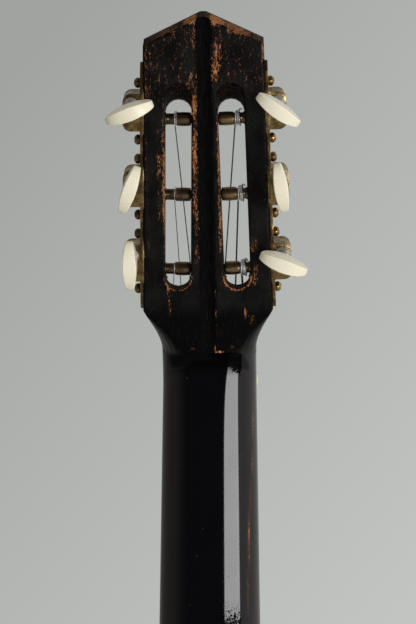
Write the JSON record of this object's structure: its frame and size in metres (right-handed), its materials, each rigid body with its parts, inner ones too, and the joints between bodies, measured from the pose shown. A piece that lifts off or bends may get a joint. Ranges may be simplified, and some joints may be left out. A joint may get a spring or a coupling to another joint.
{
  "type": "slot-head guitar",
  "caption": "Guitar with an open, slotted head, worm-geared tuning machines with oval buttons, worn black finish, round soundhole and tie-block bridge.",
  "frame": {"origin": "on the neck's centre line, in the plane of the soundboard, where the fingerboard meets the nut", "axes": "+Z along the neck to the head, -Y out of the soundboard to the player, +Y out of the back, +X to the treble side"},
  "size_m": [0.366, 0.1086, 0.9967],
  "materials": {
    "black_lacquer": "glossy black lacquer, worn",
    "ebony": "oiled",
    "bone": "polished bone",
    "rosewood": "lacquered",
    "spruce": "satin lacquer",
    "cedar": "bare",
    "brass": "aged",
    "steel": "aged",
    "ivoroid": "polished",
    "string_wire": "drawn wire"
  },
  "bodies": {
    "guitar": {"back_bar_1": "spruce", "back_bar_2": "spruce", "back_bar_3": "spruce", "back_lining_bass": "cedar", "back_lining_treble": "cedar", "back_plate": "black_lacquer", "bridge": "ebony", "fan_brace_1": "spruce", "fan_brace_2": "spruce", "fan_brace_3": "spruce", "fingerboard": "ebony", "front_bar_1": "spruce", "front_bar_2": "spruce", "front_lining_bass": "cedar", "front_lining_treble": "cedar", "head": "black_lacquer", "head_veneer": "ebony", "heel_cap": "ebony", "neck": "black_lacquer", "neck_block": "cedar", "nut": "bone", "rib_bass": "black_lacquer", "rib_treble": "black_lacquer", "rosette": "rosewood", "saddle": "bone", "soundboard": "spruce", "string_1": "string_wire", "string_2": "string_wire", "string_3": "string_wire", "string_4": "string_wire", "string_5": "string_wire", "string_6": "string_wire", "tail_block": "cedar", "tuner_plate_bass": "brass", "tuner_plate_treble": "brass"},
    "worm_1": {"worm_shaft_1": "steel", "tuner_button_1": "ivoroid"},
    "post_1": {"string_post_1": "brass", "tuner_gear_1": "brass"},
    "worm_2": {"worm_shaft_2": "steel", "tuner_button_2": "ivoroid"},
    "post_2": {"string_post_2": "brass", "tuner_gear_2": "brass"},
    "worm_3": {"worm_shaft_3": "steel", "tuner_button_3": "ivoroid"},
    "post_3": {"string_post_3": "brass", "tuner_gear_3": "brass"},
    "worm_4": {"worm_shaft_4": "steel", "tuner_button_4": "ivoroid"},
    "post_4": {"string_post_4": "brass", "tuner_gear_4": "brass"},
    "worm_5": {"worm_shaft_5": "steel", "tuner_button_5": "ivoroid"},
    "post_5": {"string_post_5": "brass", "tuner_gear_5": "brass"},
    "worm_6": {"worm_shaft_6": "steel", "tuner_button_6": "ivoroid"},
    "post_6": {"string_post_6": "brass", "tuner_gear_6": "brass"}
  },
  "joints": [
    {"name": "button_turn_1", "type": "hinge", "parent": "guitar", "child": "worm_1", "pos_m": [0.03969, 0.02601, 0.06867], "axis": [0, 0.9659, -0.2588], "continuous": true},
    {"name": "post_turn_1", "type": "hinge", "parent": "guitar", "child": "post_1", "pos_m": [0.03396, 0.02383, 0.06051], "axis": [1, 0.0022, 0.0081], "continuous": true},
    {"name": "button_turn_2", "type": "hinge", "parent": "guitar", "child": "worm_2", "pos_m": [0.03936, 0.03611, 0.10635], "axis": [0, 0.9659, -0.2588], "continuous": true},
    {"name": "post_turn_2", "type": "hinge", "parent": "guitar", "child": "post_2", "pos_m": [0.03363, 0.03392, 0.09819], "axis": [1, 0.0022, 0.0081], "continuous": true},
    {"name": "button_turn_3", "type": "hinge", "parent": "guitar", "child": "worm_3", "pos_m": [0.03904, 0.0462, 0.14403], "axis": [0, 0.9659, -0.2588], "continuous": true},
    {"name": "post_turn_3", "type": "hinge", "parent": "guitar", "child": "post_3", "pos_m": [0.03331, 0.04402, 0.13587], "axis": [1, 0.0022, 0.0081], "continuous": true},
    {"name": "button_turn_4", "type": "hinge", "parent": "guitar", "child": "worm_4", "pos_m": [-0.03456, 0.04649, 0.1451], "axis": [0, 0.9659, -0.2588], "continuous": true},
    {"name": "post_turn_4", "type": "hinge", "parent": "guitar", "child": "post_4", "pos_m": [-0.02908, 0.04426, 0.13677], "axis": [-0.9993, 0.0099, 0.0371], "continuous": true},
    {"name": "button_turn_5", "type": "hinge", "parent": "guitar", "child": "worm_5", "pos_m": [-0.03605, 0.0364, 0.10744], "axis": [0, 0.9659, -0.2588], "continuous": true},
    {"name": "post_turn_5", "type": "hinge", "parent": "guitar", "child": "post_5", "pos_m": [-0.03058, 0.03417, 0.09912], "axis": [-0.9993, 0.0099, 0.0371], "continuous": true},
    {"name": "button_turn_6", "type": "hinge", "parent": "guitar", "child": "worm_6", "pos_m": [-0.03755, 0.02631, 0.06979], "axis": [0, 0.9659, -0.2588], "continuous": true},
    {"name": "post_turn_6", "type": "hinge", "parent": "guitar", "child": "post_6", "pos_m": [-0.03208, 0.02408, 0.06146], "axis": [-0.9993, 0.0099, 0.0371], "continuous": true}
  ],
  "couplings": [
    {"joint": "post_turn_1", "follows": "button_turn_1", "ratio": 0.071429},
    {"joint": "post_turn_2", "follows": "button_turn_2", "ratio": 0.071429},
    {"joint": "post_turn_3", "follows": "button_turn_3", "ratio": 0.071429},
    {"joint": "post_turn_4", "follows": "button_turn_4", "ratio": 0.071429},
    {"joint": "post_turn_5", "follows": "button_turn_5", "ratio": 0.071429},
    {"joint": "post_turn_6", "follows": "button_turn_6", "ratio": 0.071429}
  ]
}
